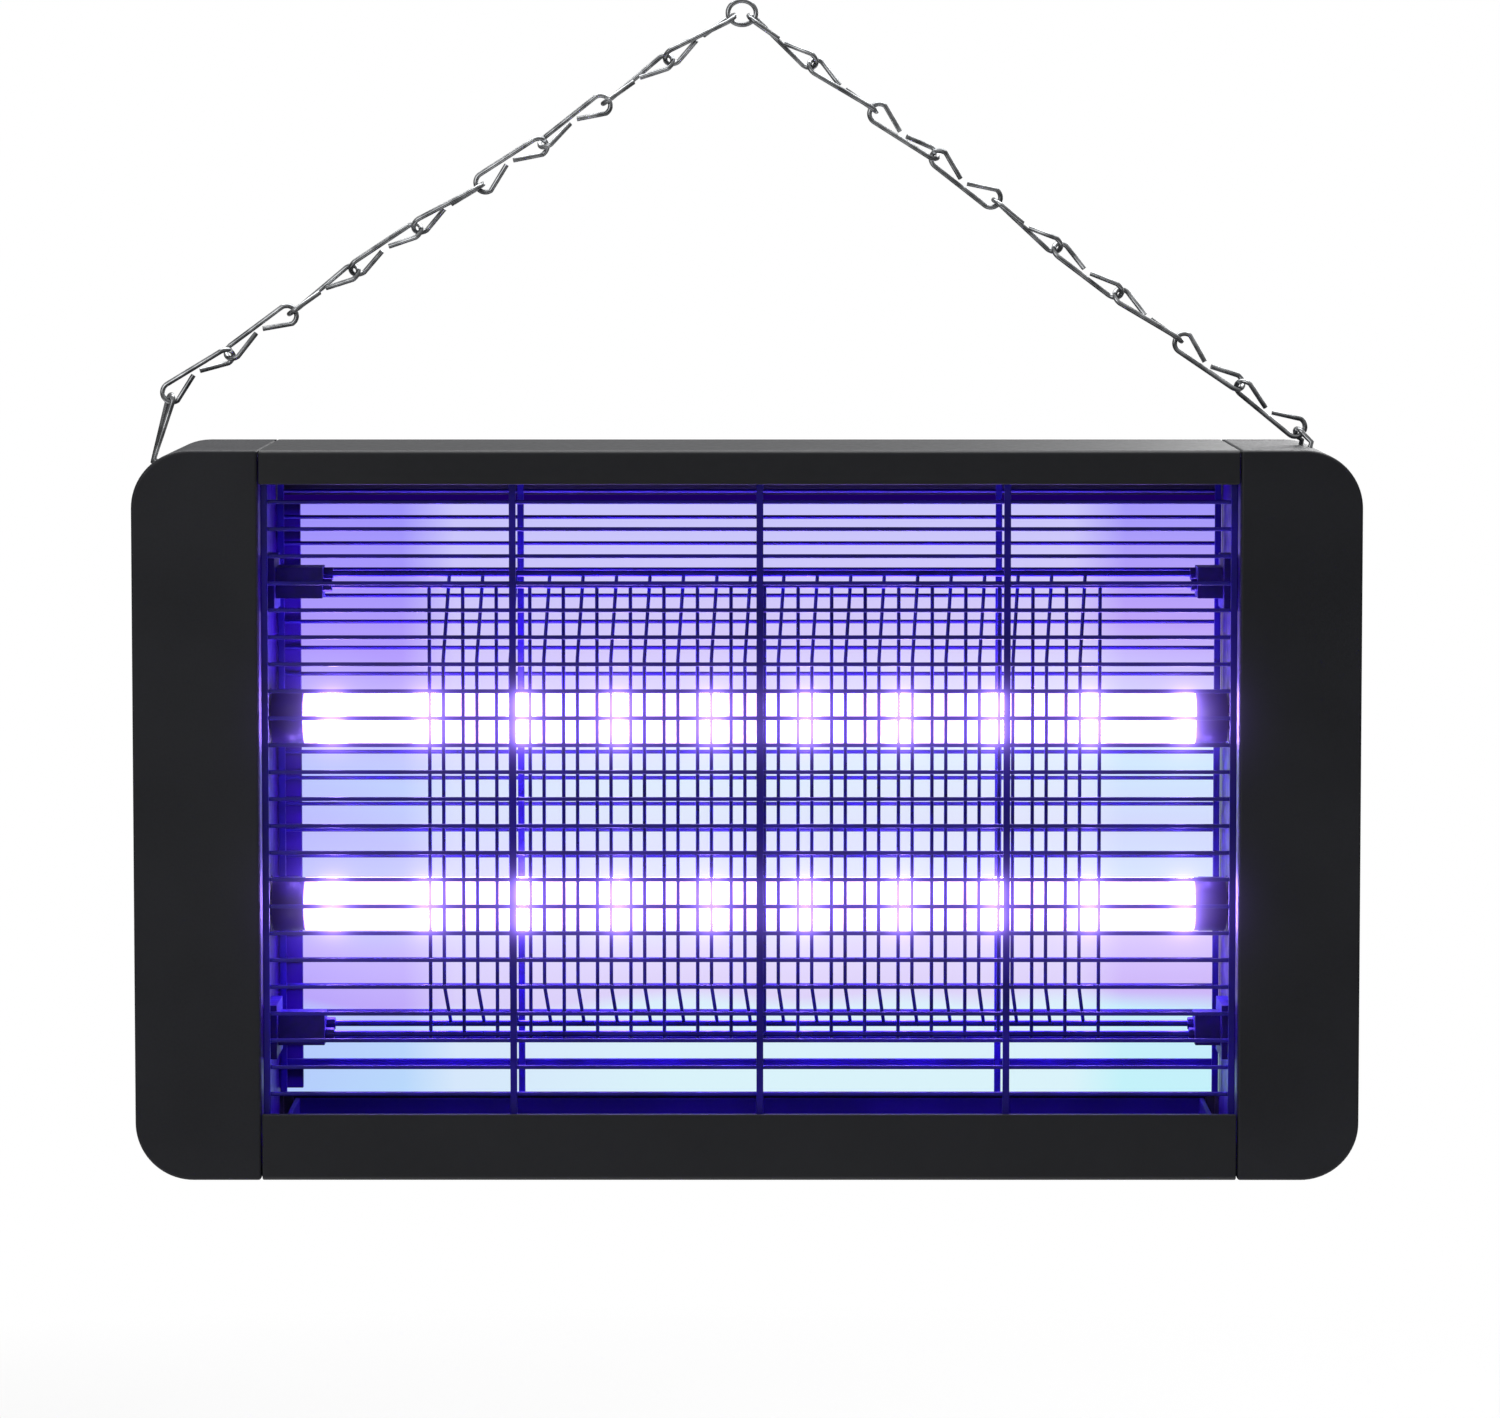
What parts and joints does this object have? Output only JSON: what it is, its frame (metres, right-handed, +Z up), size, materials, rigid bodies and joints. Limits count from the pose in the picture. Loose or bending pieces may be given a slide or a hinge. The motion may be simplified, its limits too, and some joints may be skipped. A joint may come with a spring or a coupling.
{
  "type": "electric bug zapper",
  "caption": "Flat hanging insect killer on a wire chain: lamps and a high-voltage grid behind grilles, between two end housings, over a tray.",
  "frame": {"origin": "top inside of the chain's apex ring, where it hangs on a hook", "axes": "+Z up, -Y the front that the grid faces, +X to the right seen from the front"},
  "size_m": [0.36, 0.084, 0.3473],
  "materials": {
    "moulded_black_plastic": "satin",
    "black_painted_steel": "satin",
    "indigo_painted_steel": "satin",
    "zinc_plated_wire": "satin",
    "grid_steel": "satin",
    "grey_insulator": "matte",
    "white_lamp_plastic": "satin",
    "lamp_diffuser": "gloss",
    "led_strip": "gloss",
    "circuit_board": "satin",
    "black_wire_insulation": "satin",
    "white_wire_insulation": "satin"
  },
  "bodies": {
    "ring": {"apex_ring": "zinc_plated_wire"},
    "chain": {"left_link_1": "zinc_plated_wire", "left_link_2": "zinc_plated_wire", "left_link_3": "zinc_plated_wire", "left_link_4": "zinc_plated_wire", "left_link_5": "zinc_plated_wire", "left_link_6": "zinc_plated_wire", "left_link_7": "zinc_plated_wire", "left_link_8": "zinc_plated_wire", "left_link_9": "zinc_plated_wire", "right_link_1": "zinc_plated_wire", "right_link_2": "zinc_plated_wire", "right_link_3": "zinc_plated_wire", "right_link_4": "zinc_plated_wire", "right_link_5": "zinc_plated_wire", "right_link_6": "zinc_plated_wire", "right_link_7": "zinc_plated_wire", "right_link_8": "zinc_plated_wire", "right_link_9": "zinc_plated_wire"},
    "housing": {"left_hanger": "zinc_plated_wire", "right_hanger": "zinc_plated_wire", "left_cover_screw": "zinc_plated_wire", "right_cover_screw": "zinc_plated_wire", "left_end_shell": "moulded_black_plastic", "right_end_shell": "moulded_black_plastic", "left_rear_cover": "moulded_black_plastic", "right_rear_cover": "moulded_black_plastic", "power_inlet": "moulded_black_plastic", "switch_body": "moulded_black_plastic", "top_channel": "black_painted_steel", "bottom_channel": "black_painted_steel", "left_bulkhead": "indigo_painted_steel", "right_bulkhead": "indigo_painted_steel", "front_grille": "indigo_painted_steel", "rear_grille": "indigo_painted_steel", "live_grid_comb": "grid_steel", "return_grid_comb": "grid_steel", "high_voltage_board": "circuit_board", "lamp_driver_board": "circuit_board", "live_grid_lead": "black_wire_insulation", "return_grid_lead": "black_wire_insulation", "lamp_lead": "white_wire_insulation", "upper_left_insulator": "grey_insulator", "upper_left_lamp_holder": "white_lamp_plastic", "upper_right_insulator": "grey_insulator", "upper_right_lamp_holder": "white_lamp_plastic", "lower_left_insulator": "grey_insulator", "lower_left_lamp_holder": "white_lamp_plastic", "lower_right_insulator": "grey_insulator", "lower_right_lamp_holder": "white_lamp_plastic"},
    "tray": {"collection_tray": "moulded_black_plastic"},
    "rocker": {"switch_rocker": "moulded_black_plastic"},
    "upper_lamp": {"upper_lamp_tube": "lamp_diffuser", "upper_led_strip": "led_strip", "upper_left_lamp_cap": "moulded_black_plastic", "upper_right_lamp_cap": "moulded_black_plastic"},
    "lower_lamp": {"lower_lamp_tube": "lamp_diffuser", "lower_led_strip": "led_strip", "lower_left_lamp_cap": "moulded_black_plastic", "lower_right_lamp_cap": "moulded_black_plastic"}
  },
  "joints": [
    {"name": "chain_swing", "type": "hinge", "parent": "ring", "child": "chain", "pos_m": [0, 0, -0.00462], "axis": [1, 0, 0], "range_deg": [-30, 30]},
    {"name": "housing_tilt", "type": "hinge", "parent": "chain", "child": "housing", "pos_m": [-0.1703, 0, -0.118], "axis": [0.9996, 0, -0.0294], "range_deg": [-18, 18]},
    {"name": "tray_slide", "type": "slide", "parent": "housing", "child": "tray", "axis": [0, 1, 0], "range_m": [0, 0.07]},
    {"name": "switch_rock", "type": "hinge", "parent": "housing", "child": "rocker", "pos_m": [0.1635, 0.0395, -0.2838], "axis": [1, 0, 0], "range_deg": [-18, 0]},
    {"name": "upper_lamp_turn", "type": "hinge", "parent": "housing", "child": "upper_lamp", "pos_m": [0.002, 0.0085, -0.2128], "axis": [1, 0, 0], "range_deg": [0, 90]},
    {"name": "lower_lamp_turn", "type": "hinge", "parent": "housing", "child": "lower_lamp", "pos_m": [0.002, 0.0085, -0.2692], "axis": [1, 0, 0], "range_deg": [0, 90]}
  ]
}
